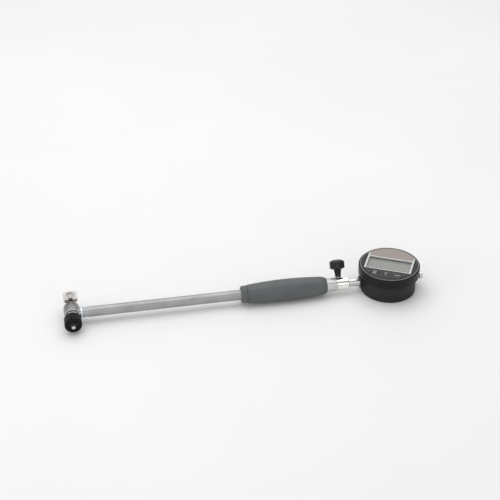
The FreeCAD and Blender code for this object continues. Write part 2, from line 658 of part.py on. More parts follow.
def rear_case():
    floor_low = REAR_FRONT - REAR_WALL
    inner_r = REAR_R - REAR_WALL
    shell = rod_z(REAR_D, -REAR_BACK, REAR_FRONT).cut(rod_z(2 * inner_r, -REAR_BACK, floor_low))
    added = [rod_x(STEM_BOSS_D, -REAR_R - STEM_BOSS, -BOSS_END),
             rod_x(CAP_BOSS_D, BOSS_END, REAR_R + CAP_BOSS),
             rod_z(HUB_D, floor_low, HUB_TOP)]
    added += [rod_z(POST_D, -REAR_BACK, floor_low, x, y) for x, y in post_places()]
    body = shell.fuse(added).removeSplitter()
    removed = [rod_x(STEM_D + 2 * PRESS, -REAR_R - STEM_BOSS, 0),
               rod_x(UPPER_SPINDLE_BUSH_D + 2 * PRESS, 0, REAR_R + CAP_BOSS),
               rod_z(HUB_BORE, floor_low, HUB_TOP),
               rod_z(STOP_PIN_D + 2 * PRESS, floor_low + 0.8, REAR_FRONT, STOP_RADIUS, 0)]
    removed += [rod_z(COVER_SCREW_D + 2 * PRESS, -REAR_BACK, COVER_SCREW - REAR_BACK, x, y)
                for x, y in post_places()]
    removed += [rod_z(SWIVEL_SCREW_D + 2 * PRESS, REAR_FRONT, HUB_TOP, x, y)
                for x, y in swivel_screw_places()]
    return at_indicator(body.cut(removed))


def cover_screw(clearance):
    """One countersunk screw, or with clearance the hole that takes it, standing at z = 0."""
    head_r, shank_r = COVER_HEAD_D / 2 + clearance, COVER_SCREW_D / 2 + clearance
    return turned([(0, 0), (0, head_r), (COVER_HEAD, shank_r), (COVER_SCREW, shank_r), (COVER_SCREW, 0)],
                  Z_AXIS)


def back_cover():
    low = -REAR_BACK - BACK_COVER
    radius = REAR_R
    cover = turned([(low, 0), (low, radius - 0.5), (low + 0.5, radius), (-REAR_BACK, radius),
                    (-REAR_BACK, 0)], Z_AXIS)
    holes = []
    for x, y in post_places():
        hole = cover_screw(PRESS)
        hole.translate(FreeCAD.Vector(x, y, low + 0.1))
        holes += [hole, rod_z(COVER_HEAD_D + 2 * PRESS, low, low + 0.1, x, y)]
    return at_indicator(cover.cut(holes))


def back_cover_screws():
    screws = []
    for x, y in post_places():
        screw = cover_screw(0)
        slot = block((-0.3, 0.3), (-COVER_HEAD_D, COVER_HEAD_D), (-1, 0.5))
        screw = screw.cut(slot)
        screw.translate(FreeCAD.Vector(x, y, 0.1 - REAR_BACK - BACK_COVER))
        screws.append(screw)
    return at_indicator(Part.makeCompound(screws))


def indicator_stem():
    end = INDICATOR_X - REAR_R + REAR_WALL + STEM_INSIDE
    stem = turned([(STEM_START, 0), (STEM_START, STEM_D / 2 - 0.4), (STEM_START + 0.4, STEM_D / 2),
                   (end, STEM_D / 2), (end, 0)], X_AXIS)
    return stem.cut(rod_x(SPINDLE_D + 2 * RUNNING, STEM_START, end))


def upper_spindle_bush():
    start, end = BOSS_END, REAR_R + CAP_BOSS - 0.2
    bush = rod_x(UPPER_SPINDLE_BUSH_D, start, end).cut(rod_x(SPINDLE_D + 2 * RUNNING, start, end))
    return at_indicator(bush)


# Indicator: spindle and scale

def spindle():
    end = INDICATOR_X + SPINDLE_TOP
    bar = rod_x(SPINDLE_D, SPINDLE_END, end)
    return bar.cut(rod_x(POINT_STUB_D + 2 * PRESS, SPINDLE_END, SPINDLE_END + POINT_STUB + PRESS))


def contact_point():
    shoulder = SPINDLE_END - POINT_LENGTH + 2.2
    tip = SPINDLE_END - POINT_LENGTH
    body = turned([(tip, 0), (tip, BALL_R * 0.8), (shoulder, POINT_D / 2), (SPINDLE_END, POINT_D / 2),
                   (SPINDLE_END, POINT_STUB_D / 2), (SPINDLE_END + POINT_STUB, POINT_STUB_D / 2),
                   (SPINDLE_END + POINT_STUB, 0)], X_AXIS)
    return body.cut(Part.makeSphere(BALL_R + PRESS, FreeCAD.Vector(tip, 0, 0)))


def contact_ball():
    return Part.makeSphere(BALL_R, FreeCAD.Vector(SPINDLE_END - POINT_LENGTH, 0, 0))


def spindle_cap():
    start = REAR_R + CAP_BOSS + 2 * SIDE_GAP
    end = start + CAP_LENGTH
    radius = CAP_D / 2
    cap = turned([(start, 0), (start, radius - 0.9), (start + 1.6, radius - 0.9), (start + 2.0, radius),
                  (end - 0.8, radius), (end, radius - 0.8), (end, 0)], X_AXIS)
    return at_indicator(cap.cut(rod_x(SPINDLE_D + 2 * PRESS, start, SPINDLE_TOP + PRESS)))


def scale_carrier():
    top = SPINDLE_D / 2 + 0.1
    carrier = block((-CARRIER_BACK, CARRIER_LENGTH - CARRIER_BACK), (-CARRIER_WIDTH / 2, CARRIER_WIDTH / 2),
                    (-CARRIER_DROP, top))
    pin_hole = rod_z(GUIDE_PIN_D + 2 * PRESS, -CARRIER_DROP, -CARRIER_DROP + 2, guide_pin_place(), 0)
    bore = rod_x(SPINDLE_D + 2 * PRESS, -CARRIER_BACK, CARRIER_LENGTH - CARRIER_BACK)
    return at_indicator(carrier.cut([bore, pin_hole]))


def guide_pin_place():
    return CARRIER_LENGTH / 2 - CARRIER_BACK


def guide_pin():
    low = RAIL_HEIGHT - REAR_BACK - 2.0
    return at_indicator(rod_z(GUIDE_PIN_D, low, -CARRIER_DROP + 2 - PRESS, guide_pin_place(), 0))


def guide_rail():
    rail = block((-RAIL_LENGTH / 2, RAIL_LENGTH / 2), (-RAIL_WIDTH / 2, RAIL_WIDTH / 2),
                 (-REAR_BACK, RAIL_HEIGHT - REAR_BACK))
    slot_half = GUIDE_PIN_D / 2 + RUNNING
    slot = block((-RAIL_LENGTH / 2 + 2, RAIL_LENGTH / 2 - 2), (-slot_half, slot_half),
                 (0.6 - REAR_BACK, RAIL_HEIGHT - REAR_BACK))
    return at_indicator(rail.cut(slot))


def grid_scale():
    low = SPINDLE_D / 2 + 0.1
    end = CARRIER_LENGTH - CARRIER_BACK
    return at_indicator(block((end - SCALE_LENGTH, end), (-SCALE_WIDTH / 2, SCALE_WIDTH / 2),
                              (low, low + SCALE_THICKNESS)))


def reader_board():
    top = REAR_FRONT - REAR_WALL
    return at_indicator(block((-READER_LENGTH / 2, READER_LENGTH / 2), (-READER_WIDTH / 2, READER_WIDTH / 2),
                              (top - READER_THICKNESS, top)))


def sensor_ribbon():
    top = BOARD_LOW - SIDE_GAP
    return at_indicator(block((-RIBBON_WIDTH / 2, RIBBON_WIDTH / 2),
                              (-RIBBON_THICKNESS / 2, RIBBON_THICKNESS / 2), (REAR_FRONT - REAR_WALL, top)))


def spindle_spring():
    start = CARRIER_LENGTH - CARRIER_BACK
    end = BOSS_END
    mean_radius = SPINDLE_D / 2 + SPINDLE_SPRING_WIRE / 2 + 0.3
    spring = coil_spring(mean_radius, SPINDLE_SPRING_WIRE, end - start, SPINDLE_SPRING_COILS)
    spring.rotate(ORIGIN, Y_AXIS, 90)
    spring.translate(FreeCAD.Vector(start, 0, 0))
    return at_indicator(spring)


# Indicator: swivel

def swivel_washer():
    low = REAR_FRONT + DRIVE_GAP
    return at_indicator(rod_z(SWIVEL_WASHER_D, low, low + SWIVEL_WASHER).cut(
        rod_z(HUB_D + 2 * SIDE_GAP, low, low + SWIVEL_WASHER)))


def swivel_retainer():
    ring = rod_z(RETAINER_D, HUB_TOP, HUB_TOP + RETAINER).cut(rod_z(HUB_BORE, HUB_TOP, HUB_TOP + RETAINER))
    return at_indicator(ring.cut([rod_z(SWIVEL_SCREW_D + 2 * PRESS, HUB_TOP, HUB_TOP + RETAINER, x, y)
                                  for x, y in swivel_screw_places()]))


def swivel_screws():
    top = HUB_TOP + RETAINER
    screws = []
    for x, y in swivel_screw_places():
        screw = rod_z(SWIVEL_SCREW_D, REAR_FRONT + 0.2, top, x, y)
        head = rod_z(SWIVEL_HEAD_D, top, top + SWIVEL_HEAD, x, y)
        slot = block((x - SWIVEL_HEAD_D, x + SWIVEL_HEAD_D), (y - 0.2, y + 0.2), (top + 0.4, top + 1))
        screws.append(screw.fuse(head).removeSplitter().cut(slot))
    return at_indicator(Part.makeCompound(screws))


def swivel_stop_pin():
    low = REAR_FRONT - REAR_WALL + 0.8 + PRESS
    return at_indicator(rod_z(STOP_PIN_D, low, REAR_FRONT + STOP_PIN, STOP_RADIUS, 0))


# Indicator: display unit

def display_housing():
    outer_r = DISPLAY_D / 2
    drum = turned([(DISPLAY_LOW, 0), (DISPLAY_LOW, outer_r - 0.8), (DISPLAY_LOW + 0.8, outer_r),
                   (DISPLAY_TOP - 0.6, outer_r), (DISPLAY_TOP, outer_r - 0.6), (DISPLAY_TOP, 0)], Z_AXIS)
    inside = rod_z(DISPLAY_D - 2 * DISPLAY_WALL, FLOOR_TOP, FACE_LOW)
    rebate = rod_z(FACE_D + 2 * PRESS, FACE_LOW, DISPLAY_TOP)
    hub_hole = rod_z(HUB_D + 2 * RUNNING, DISPLAY_LOW, FLOOR_TOP)
    half = DRAWER_HALF + SIDE_GAP
    bay = block((-half, half), (DRAWER_INNER, outer_r + 1), (DRAWER_LOW - SIDE_GAP, DRAWER_TOP + SIDE_GAP))
    posts = [rod_z(BOARD_POST_D, FLOOR_TOP, BOARD_LOW, u, v) for u, v in board_post_places()]
    housing = drum.cut([inside, rebate, hub_hole, bay, stop_groove()])
    return on_display(housing.fuse(posts).removeSplitter())


def board_post_places():
    reach = DISPLAY_D / 2 - DISPLAY_WALL - BOARD_POST_D
    return [(side * reach * 0.78, up * reach * 0.62) for side in (-1, 1) for up in (-1, 1)]


def stop_groove():
    """The arc in the housing's underside that the stop pin runs in, drawn in u, v."""
    margin = math.degrees((STOP_PIN_D / 2 + SIDE_GAP) / STOP_RADIUS)
    first = -SWIVEL_MAX - margin
    sweep = SWIVEL_MAX - SWIVEL_MIN + 2 * margin
    half = STOP_PIN_D / 2 + SIDE_GAP
    depth = STOP_PIN - DISPLAY_GAP + 0.2
    section = Part.makePolygon([FreeCAD.Vector(STOP_RADIUS + side, 0, DISPLAY_LOW + up) for side, up in (
        (-half, 0), (half, 0), (half, depth), (-half, depth), (-half, 0))])
    groove = Part.Face(section).revolve(ORIGIN, Z_AXIS, sweep)
    groove.rotate(ORIGIN, Z_AXIS, first)
    return groove


def surround_region(low, high, spread):
    """The light panel's outline: straight sides and foot under an arc, grown by spread."""
    half = SURROUND_WIDTH / 2 + spread
    panel = block((-half, half), (LCD_LOW - SURROUND_BORDER - spread, SURROUND_R + 1), (low, high))
    return panel.common(rod_z(2 * (SURROUND_R + spread), low, high))


def key_region(number, low, high, spread):
    """One key's outline, grown by spread: 0 and 2 are the outer keys, 1 the middle one."""
    sides = [(-KEY_SPAN, -KEY_HALF - KEY_GAP), (-KEY_HALF, KEY_HALF), (KEY_HALF + KEY_GAP, KEY_SPAN)]
    left, right = sides[number]
    panel = block((left - spread, right + spread), (KEY_LOW - spread, KEY_HIGH + spread), (low, high))
    return panel.common(rod_z(2 * (KEY_R + spread), low, high))


def face_plate():
    plate = rod_z(FACE_D, FACE_LOW, DISPLAY_TOP)
    holes = [key_region(number, FACE_LOW, DISPLAY_TOP, SIDE_GAP) for number in range(3)]
    return on_display(plate.cut(holes + [surround_region(FACE_LOW, DISPLAY_TOP, PRESS)]))


def lcd_block(low, high, spread):
    half = LCD_WIDTH / 2 + spread
    return block((-half, half), (LCD_LOW - spread, LCD_HIGH + spread), (low, high))


def display_surround():
    top = DISPLAY_TOP + SURROUND_PROUD
    return on_display(surround_region(FACE_LOW, top, 0).cut(lcd_block(FACE_LOW, top, 0)))


def lcd_window():
    return on_display(lcd_block(WINDOW_LOW, FACE_LOW, WINDOW_LAP))


def lcd_panel():
    return on_display(lcd_block(LCD_BASE, LCD_TOP, LCD_LAP))


def zebra_strips():
    half = LCD_WIDTH / 2 - 1
    strips = [block((-half, half), (low, low + ZEBRA_WIDTH), (BOARD_TOP, LCD_BASE))
              for low in (LCD_LOW, LCD_HIGH - ZEBRA_WIDTH)]
    return on_display(Part.makeCompound(strips))


def circuit_board():
    board = rod_z(DISPLAY_D - 2 * DISPLAY_WALL - 2 * SIDE_GAP, BOARD_LOW, BOARD_TOP)
    half = DRAWER_HALF + 2 * SIDE_GAP
    bay = block((-half, half), (DRAWER_INNER - 1, DISPLAY_D), (BOARD_LOW, BOARD_TOP))
    return on_display(board.cut(bay))


def dome_switches():
    return on_display(Part.makeCompound([
        rod_z(DOME_D, BOARD_TOP, BOARD_TOP + DOME, u, v) for u, v in KEY_CENTRES]))


def key(number):
    flange_top = FACE_LOW - 0.1
    flange_low = flange_top - KEY_FLANGE
    u, v = KEY_CENTRES[number]
    cap = key_region(number, flange_low, DISPLAY_TOP + KEY_PROUD, 0)
    flange = key_region(number, flange_low, flange_top, SIDE_GAP + 0.1)
    post = rod_z(KEY_POST_D, BOARD_TOP + DOME + KEY_TRAVEL + 0.1, flange_low, u, v)
    return on_display(cap.fuse([flange, post]).removeSplitter())


def battery_drawer():
    outline = block((-DRAWER_HALF, DRAWER_HALF), (DRAWER_INNER, DISPLAY_D), (DRAWER_LOW, DRAWER_TOP))
    drawer = outline.common(rod_z(DISPLAY_D, DRAWER_LOW, DRAWER_TOP))
    pocket = rod_z(CELL_D + 4 * PRESS, DRAWER_LOW + DRAWER_FLOOR, DRAWER_TOP, 0, CELL_V)
    return on_display(drawer.cut(pocket))


def battery_cell():
    low = DRAWER_LOW + DRAWER_FLOOR + PRESS
    return on_display(rod_z(CELL_D, low, low + CELL_HEIGHT, 0, CELL_V))


def battery_contacts():
    outer = DRAWER_INNER - SIDE_GAP
    return on_display(Part.makeCompound([
        block((u - 1, u + 1), (outer - CONTACT_STRIP, outer), (FLOOR_TOP, BOARD_LOW)) for u in (-3, 3)]))


NODES = {
    "measuring_head_body": measuring_head_body,
    "crank_pivot_pin": crank_pivot_pin,
    "bell_crank": bell_crank,
    "plunger_bush": plunger_bush,
    "contact_plunger": contact_plunger,
    "contact_tip": contact_tip,
    "guide_yoke": guide_yoke,
    "guide_screws": guide_screws,
    "guide_spring": guide_spring,
    "anvil": anvil,
    "anvil_tip": anvil_tip,
    "lock_washer": lock_washer,
    "anvil_lock_nut": anvil_lock_nut,
    "union_sleeve": union_sleeve,
    "lower_rod_bush": lambda: rod_bush(ROD_BUSH_D, LOWER_BUSH_START, ROD_BUSH),
    "spring_seat_bush": lambda: rod_bush(2 * SPIGOT_R, SEAT_BUSH_X, SEAT_BUSH),
    "upper_rod_bush": lambda: rod_bush(2 * SPIGOT_R, UPPER_BUSH_X, UPPER_BUSH),
    "stem_tube": stem_tube,
    "push_rod": push_rod,
    "push_rod_spring": push_rod_spring,
    "grip_sleeve": grip_sleeve,
    "neck_sleeve": neck_sleeve,
    "clamp_collar": clamp_collar,
    "clamp_pad": clamp_pad,
    "clamp_screw": clamp_screw,
    "clamp_knob": clamp_knob,
    "rear_case": rear_case,
    "back_cover": back_cover,
    "back_cover_screws": back_cover_screws,
    "indicator_stem": indicator_stem,
    "upper_spindle_bush": upper_spindle_bush,
    "spindle": spindle,
    "contact_point": contact_point,
    "contact_ball": contact_ball,
    "spindle_cap": spindle_cap,
    "scale_carrier": scale_carrier,
    "guide_pin": guide_pin,
    "guide_rail": guide_rail,
    "grid_scale": grid_scale,
    "reader_board": reader_board,
    "sensor_ribbon": sensor_ribbon,
    "spindle_spring": spindle_spring,
    "swivel_washer": swivel_washer,
    "swivel_retainer": swivel_retainer,
    "swivel_screws": swivel_screws,
    "swivel_stop_pin": swivel_stop_pin,
    "display_housing": display_housing,
    "face_plate": face_plate,
    "display_surround": display_surround,
    "lcd_window": lcd_window,
    "lcd_panel": lcd_panel,
    "zebra_strips": zebra_strips,
    "circuit_board": circuit_board,
    "dome_switches": dome_switches,
    "left_key": lambda: key(0),
    "middle_key": lambda: key(1),
    "right_key": lambda: key(2),
    "battery_drawer": battery_drawer,
    "battery_cell": battery_cell,
    "battery_contacts": battery_contacts,
}

os.makedirs("parts", exist_ok=True)
for name, make in NODES.items():
    make().exportStep(f"parts/{name}.step")
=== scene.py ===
import math

import bmesh
import bpy
from mathutils import Matrix, Vector


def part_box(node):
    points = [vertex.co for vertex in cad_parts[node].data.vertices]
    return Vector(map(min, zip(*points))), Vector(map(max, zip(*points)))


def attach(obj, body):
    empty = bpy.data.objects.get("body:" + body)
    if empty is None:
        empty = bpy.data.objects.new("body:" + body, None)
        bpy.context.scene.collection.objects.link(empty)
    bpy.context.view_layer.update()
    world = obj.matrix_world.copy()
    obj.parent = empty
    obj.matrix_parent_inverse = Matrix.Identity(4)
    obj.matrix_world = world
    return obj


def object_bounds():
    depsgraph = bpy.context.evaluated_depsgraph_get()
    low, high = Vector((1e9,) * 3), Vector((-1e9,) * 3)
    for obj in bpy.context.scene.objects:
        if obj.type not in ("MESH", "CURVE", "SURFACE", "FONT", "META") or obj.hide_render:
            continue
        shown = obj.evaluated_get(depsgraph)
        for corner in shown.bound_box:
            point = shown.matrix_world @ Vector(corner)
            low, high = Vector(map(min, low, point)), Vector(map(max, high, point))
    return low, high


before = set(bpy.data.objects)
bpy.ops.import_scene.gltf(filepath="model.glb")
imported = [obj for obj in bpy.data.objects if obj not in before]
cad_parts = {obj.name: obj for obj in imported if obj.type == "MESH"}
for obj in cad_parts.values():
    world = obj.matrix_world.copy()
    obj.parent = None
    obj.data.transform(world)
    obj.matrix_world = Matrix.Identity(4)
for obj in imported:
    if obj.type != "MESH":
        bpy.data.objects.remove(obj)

cad_low, cad_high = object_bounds()

# Measuring head: a turned steel barrel with a squared guide block, bead blasted to a
# dull grey. Painted highlights brighten the chamfers and the rim of the boss that takes
# the union, and painted shade darkens the groove round the barrel.
MM = 0.001
GROOVE_START = -7.5 * MM
BARREL_NEAR = -4.6 * MM
NEAR_CHAMFER = 0.8 * MM
BARREL_FAR = 10.55 * MM
FAR_CHAMFER = 2.05 * MM
BOSS_RIM = 8.4 * MM
BOSS_END = 16.8 * MM


def new_finish(name, metallic, roughness):
    """A node material, its shader, and the coordinates that its patterns follow."""
    material = bpy.data.materials.new(name)
    material.use_nodes = True
    tree = material.node_tree
    shader = tree.nodes["Principled BSDF"]
    shader.inputs["Metallic"].default_value = metallic
    shader.inputs["Roughness"].default_value = roughness
    place = tree.nodes.new("ShaderNodeTexCoord").outputs["Object"]
    return material, tree, shader, place


def split(tree, vector):
    """The X, Y and Z of a vector, as three numbers."""
    axes = tree.nodes.new("ShaderNodeSeparateXYZ")
    tree.links.new(vector, axes.inputs["Vector"])
    return axes.outputs["X"], axes.outputs["Y"], axes.outputs["Z"]


def maths(tree, operation, *values):
    """One step of arithmetic. Each value is a float or the output of a node."""
    step = tree.nodes.new("ShaderNodeMath")
    step.operation = operation
    for socket, value in zip(step.inputs, values):
        if isinstance(value, float):
            socket.default_value = value
        else:
            tree.links.new(value, socket)
    return step.outputs["Value"]


def grain(tree, place, stretch, detail=3.0):
    """Noise from 0 to 1, with that many grains to a metre along X, Y and Z."""
    mapping = tree.nodes.new("ShaderNodeMapping")
    mapping.inputs["Scale"].default_value = stretch
    noise = tree.nodes.new("ShaderNodeTexNoise")
    noise.inputs["Scale"].default_value = 1.0
    noise.inputs["Detail"].default_value = detail
    tree.links.new(place, mapping.inputs["Vector"])
    tree.links.new(mapping.outputs["Vector"], noise.inputs["Vector"])
    return noise.outputs["Fac"]


def between(tree, factor, low, high, start=0.3, end=0.7):
    """The factor as a number that runs from low to high."""
    span = tree.nodes.new("ShaderNodeMapRange")
    span.inputs["From Min"].default_value = start
    span.inputs["From Max"].default_value = end
    span.inputs["To Min"].default_value = low
    span.inputs["To Max"].default_value = high
    tree.links.new(factor, span.inputs["Value"])
    return span.outputs["Result"]


def tones(tree, factor, dark, light, start=0.3, end=0.7):
    """A colour that runs from dark to light with the factor."""
    ramp = tree.nodes.new("ShaderNodeValToRGB")
    ramp.color_ramp.elements[0].position = start
    ramp.color_ramp.elements[0].color = (*dark, 1)
    ramp.color_ramp.elements[1].position = end
    ramp.color_ramp.elements[1].color = (*light, 1)
    tree.links.new(factor, ramp.inputs["Fac"])
    return ramp.outputs["Color"]


def covered(tree, under, factor, tone):
    """The colour under it, hidden by a flat tone where the factor is 1."""
    coat = tree.nodes.new("ShaderNodeMix")
    coat.data_type = "RGBA"
    coat.inputs["B"].default_value = (*tone, 1)
    tree.links.new(factor, coat.inputs["Factor"])
    tree.links.new(under, coat.inputs["A"])
    return coat.outputs["Result"]


def relief(tree, shader, height, depth, edge):
    """Bump of that depth over corners that catch the light as if broken by edge."""
    corner = tree.nodes.new("ShaderNodeBevel")
    corner.samples = 4
    corner.inputs["Radius"].default_value = edge
    bump = tree.nodes.new("ShaderNodeBump")
    bump.inputs["Distance"].default_value = depth
    tree.links.new(height, bump.inputs["Height"])
    tree.links.new(corner.outputs["Normal"], bump.inputs["Normal"])
    tree.links.new(bump.outputs["Normal"], shader.inputs["Normal"])


def dress(material, *names):
    """Give CAD pieces their finish."""
    for name in names:
        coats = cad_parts[name].data.materials
        coats.clear()
        coats.append(material)


def head_finish():
    material, tree, shader, place = new_finish("head_finish", 1.0, 0.42)
    x, y, _ = split(tree, place)
    # Painted shade in the groove, and painted highlights on both chamfers and on the boss rim.
    painted_light_bands = [(y, GROOVE_START, BARREL_NEAR, (0.06, 0.058, 0.056)),
             (y, BARREL_NEAR, BARREL_NEAR + NEAR_CHAMFER, (0.62, 0.61, 0.60)),
             (y, BARREL_FAR - FAR_CHAMFER, BARREL_FAR, (0.92, 0.90, 0.88)),
             (x, BOSS_RIM, BOSS_END, (0.90, 0.89, 0.88))]
    patches = grain(tree, place, (260, 260, 260), 6.0)
    colour = tones(tree, patches, (0.27, 0.265, 0.27), (0.36, 0.355, 0.36))
    for axis, low, high, tone in painted_light_bands:
        inside = maths(tree, "COMPARE", axis, (low + high) / 2, (high - low) / 2)
        colour = covered(tree, colour, inside, tone)
    tree.links.new(colour, shader.inputs["Base Color"])
    tooth = grain(tree, place, (2600, 2600, 2600))
    tree.links.new(between(tree, tooth, 0.36, 0.52), shader.inputs["Roughness"])
    relief(tree, shader, tooth, depth=0.012 * MM, edge=0.12 * MM)
    return material


dress(head_finish(), "measuring_head_body")


# Crank and contact plunger: hardened and ground steel. The plunger slides in a pressed
# brass bush, and the bell crank turns its stroke along the tube, on a ground pin.
def scaled(colour, factor):
    return tuple(channel * factor for channel in colour)


def steel(name, colour, roughness, lines, depth=0.003 * MM, edge=0.12 * MM):
    """Metal with that many tool marks to a metre each way, and slow patches of tarnish."""
    material, tree, shader, place = new_finish(name, 1.0, roughness)
    patches = grain(tree, place, (90, 90, 90), 5.0)
    tree.links.new(tones(tree, patches, scaled(colour, 0.86), scaled(colour, 1.06)),
                   shader.inputs["Base Color"])
    marks = grain(tree, place, lines)
    tree.links.new(between(tree, marks, roughness * 0.8, roughness * 1.25),
                   shader.inputs["Roughness"])
    relief(tree, shader, marks, depth, edge)
    return material


ground_steel = steel("ground_steel", (0.56, 0.56, 0.57), 0.22, (500, 6000, 500))
brass = steel("brass", (0.78, 0.56, 0.25), 0.25, (2500, 300, 300))
dress(ground_steel, "crank_pivot_pin", "bell_crank", "contact_plunger")
dress(brass, "plunger_bush")

# Contact and anvil tips: domed buttons of pale sintered carbide, diamond lapped to a
# mirror with a faint bloom, and pressed into their shanks.
carbide = steel("carbide", (0.62, 0.60, 0.58), 0.14, (900, 900, 900),
                depth=0.001 * MM, edge=0.05 * MM)
dress(carbide, "contact_tip", "anvil_tip")

# Centring guide: one bright chromed yoke with a thick lobe above and below the head,
# held by two slotted shoulder screws and pushed out by a coil spring of drawn wire.
chrome = steel("chrome", (0.60, 0.575, 0.55), 0.12, (400, 400, 3000),
               depth=0.001 * MM, edge=0.18 * MM)
screw_steel = steel("screw_steel", (0.50, 0.49, 0.48), 0.26, (300, 5000, 5000))
spring_steel = steel("spring_steel", (0.34, 0.34, 0.35), 0.30, (1500, 1500, 1500))
dress(chrome, "guide_yoke")
dress(screw_steel, "guide_screws")
dress(spring_steel, "guide_spring")

# Anvil and washer: a threaded steel shank, painted near black as painted shade, screws
# into the head. A loose chromed washer lies between the head and the lock nut.
# Painted shade: the anvil's dark tone stands in for the shadow it sits in.
anvil_shade_steel = steel("anvil_shade_steel", (0.07, 0.07, 0.075), 0.34, (1200, 5000, 1200))
dress(anvil_shade_steel, "anvil")
dress(chrome, "lock_washer")

# Lock nut: turned steel, knurled all round with crossed helical cuts, then blackened.
# Painted shade darkens the valleys of the knurls, so their tops show a slightly greyer tone.
KNURLS_AROUND = 40
KNURL_PITCH = 1.3 * MM
KNURL_DEPTH = 0.35 * MM


def knurled_black():
    material, tree, shader, place = new_finish("knurled_black", 0.85, 0.42)
    x, y, z = split(tree, place)
    turn = maths(tree, "ARCTAN2", x, z)
    around = maths(tree, "MULTIPLY", turn, KNURLS_AROUND / (2 * math.pi))
    along = maths(tree, "MULTIPLY", y, 1 / KNURL_PITCH)
    right_cut = maths(tree, "PINGPONG", maths(tree, "ADD", around, along), 0.5)
    left_cut = maths(tree, "PINGPONG", maths(tree, "SUBTRACT", around, along), 0.5)
    knurl = maths(tree, "MINIMUM", right_cut, left_cut)
    # Painted shade: the colour darkens into the knurl valleys and lightens on their tops.
    tree.links.new(tones(tree, knurl, (0.006, 0.006, 0.0065), (0.035, 0.034, 0.033), 0.1, 0.45),
                   shader.inputs["Base Color"])
    wear = grain(tree, place, (700, 700, 700))
    tree.links.new(between(tree, wear, 0.34, 0.52), shader.inputs["Roughness"])
    relief(tree, shader, knurl, depth=KNURL_DEPTH, edge=0.15 * MM)
    return material


dress(knurled_black(), "anvil_lock_nut")

# Union and tube: a blue-grey plated union with two spanner flats screws the satin tube
# to the head. Fine rings from centreless grinding run round the tube.
plated_steel = steel("plated_steel", (0.42, 0.455, 0.48), 0.36, (3500, 900, 900))
satin_tube = steel("satin_tube", (0.42, 0.413, 0.41), 0.50, (3200, 120, 120), depth=0.004 * MM)
dress(plated_steel, "union_sleeve")
dress(satin_tube, "stem_tube")

# Push rod: a long hardened rod slides in reamed brass bushes inside the tube, against a
# coil spring. None of it shows until the gauge is taken apart.
dress(ground_steel, "push_rod")
dress(brass, "lower_rod_bush", "spring_seat_bush", "upper_rod_bush")
dress(spring_steel, "push_rod_spring")


# Grip: a slate-grey moulded sleeve that swells in the middle, with a fine spark-eroded
# texture, faint flow marks along it and the polish that handling gives.
def moulded(name, colour, roughness, grains, depth, edge, sheen=0.5):
    """Plastic with an even mould texture, and slow changes of tone and gloss."""
    material, tree, shader, place = new_finish(name, 0.0, roughness)
    shader.inputs["Specular IOR Level"].default_value = sheen
    patches = grain(tree, place, (45, 90, 90), 4.0)
    tree.links.new(tones(tree, patches, scaled(colour, 0.90), scaled(colour, 1.10)),
                   shader.inputs["Base Color"])
    tree.links.new(between(tree, patches, roughness * 0.9, roughness * 1.12),
                   shader.inputs["Roughness"])
    texture = grain(tree, place, (grains, grains, grains), 2.0)
    relief(tree, shader, texture, depth, edge)
    return material


grip_plastic = moulded("grip_plastic", (0.095, 0.103, 0.106), 0.50, 1800,
                       depth=0.02 * MM, edge=0.3 * MM)
dress(grip_plastic, "grip_sleeve")

# Neck and clamp collar: the neck is blasted and nickel plated, a soft silver white.
# The collar over its end is polished and chromed, with one sharp reflection.
nickel = steel("nickel", (0.62, 0.61, 0.61), 0.46, (2400, 2400, 2400), depth=0.008 * MM)
polished_chrome = steel("polished_chrome", (0.90, 0.88, 0.85), 0.07, (2500, 200, 200),
                        depth=0.001 * MM, edge=0.2 * MM)
dress(nickel, "neck_sleeve")
dress(polished_chrome, "clamp_collar")

# Clamp screw: a steel stud moulded into a glossy black knob with rounded flutes, whose
# waisted shank leads down to the collar. It presses a small brass pad on the stem.
knob_plastic = moulded("knob_plastic", (0.006, 0.006, 0.006), 0.22, 700,
                       depth=0.004 * MM, edge=0.35 * MM, sheen=0.4)
dress(knob_plastic, "clamp_knob")
dress(screw_steel, "clamp_screw")
dress(brass, "clamp_pad")

# Rear case and stem: a black moulded cup whose back cover is held by four screws. The
# turned steel stem, and the boss round it, stand out at the side.
case_plastic = moulded("case_plastic", (0.016, 0.016, 0.017), 0.52, 1500,
                       depth=0.025 * MM, edge=0.3 * MM, sheen=0.3)
turned_stem = steel("turned_stem", (0.66, 0.655, 0.65), 0.20, (4200, 150, 150))
dress(case_plastic, "rear_case", "back_cover")
dress(screw_steel, "back_cover_screws")
dress(turned_stem, "indicator_stem")

# Spindle: a ground rod through the stem and the case, sprung outwards. Its contact point
# ends in a carbide ball, a turned cap closes its top, and a brass bush guides it there.
dress(ground_steel, "spindle", "contact_point")
dress(carbide, "contact_ball")
dress(turned_stem, "spindle_cap")
dress(brass, "upper_spindle_bush")
dress(spring_steel, "spindle_spring")

# Scale carrier: a milled alloy block on the spindle. A ground pin and an alloy rail keep
# it from turning.
alloy = steel("alloy", (0.60, 0.61, 0.62), 0.34, (300, 2600, 300))
dress(alloy, "scale_carrier", "guide_rail")
dress(ground_steel, "guide_pin")


# Circuit boards: glass fibre under green lacquer, with copper tracks. The carrier moves
# a narrow one under the reader, and the third is the display's own board.
def printed_board():
    material, tree, shader, place = new_finish("printed_board", 0.0, 0.35)
    tracks = tree.nodes.new("ShaderNodeTexVoronoi")
    tracks.feature = "DISTANCE_TO_EDGE"
    tracks.inputs["Scale"].default_value = 420
    tree.links.new(place, tracks.inputs["Vector"])
    away = tracks.outputs["Distance"]
    tree.links.new(tones(tree, away, (0.10, 0.26, 0.10), (0.015, 0.085, 0.035), 0.02, 0.12),
                   shader.inputs["Base Color"])
    relief(tree, shader, away, depth=0.03 * MM, edge=0.1 * MM)
    return material


dress(printed_board(), "grid_scale", "reader_board", "circuit_board")

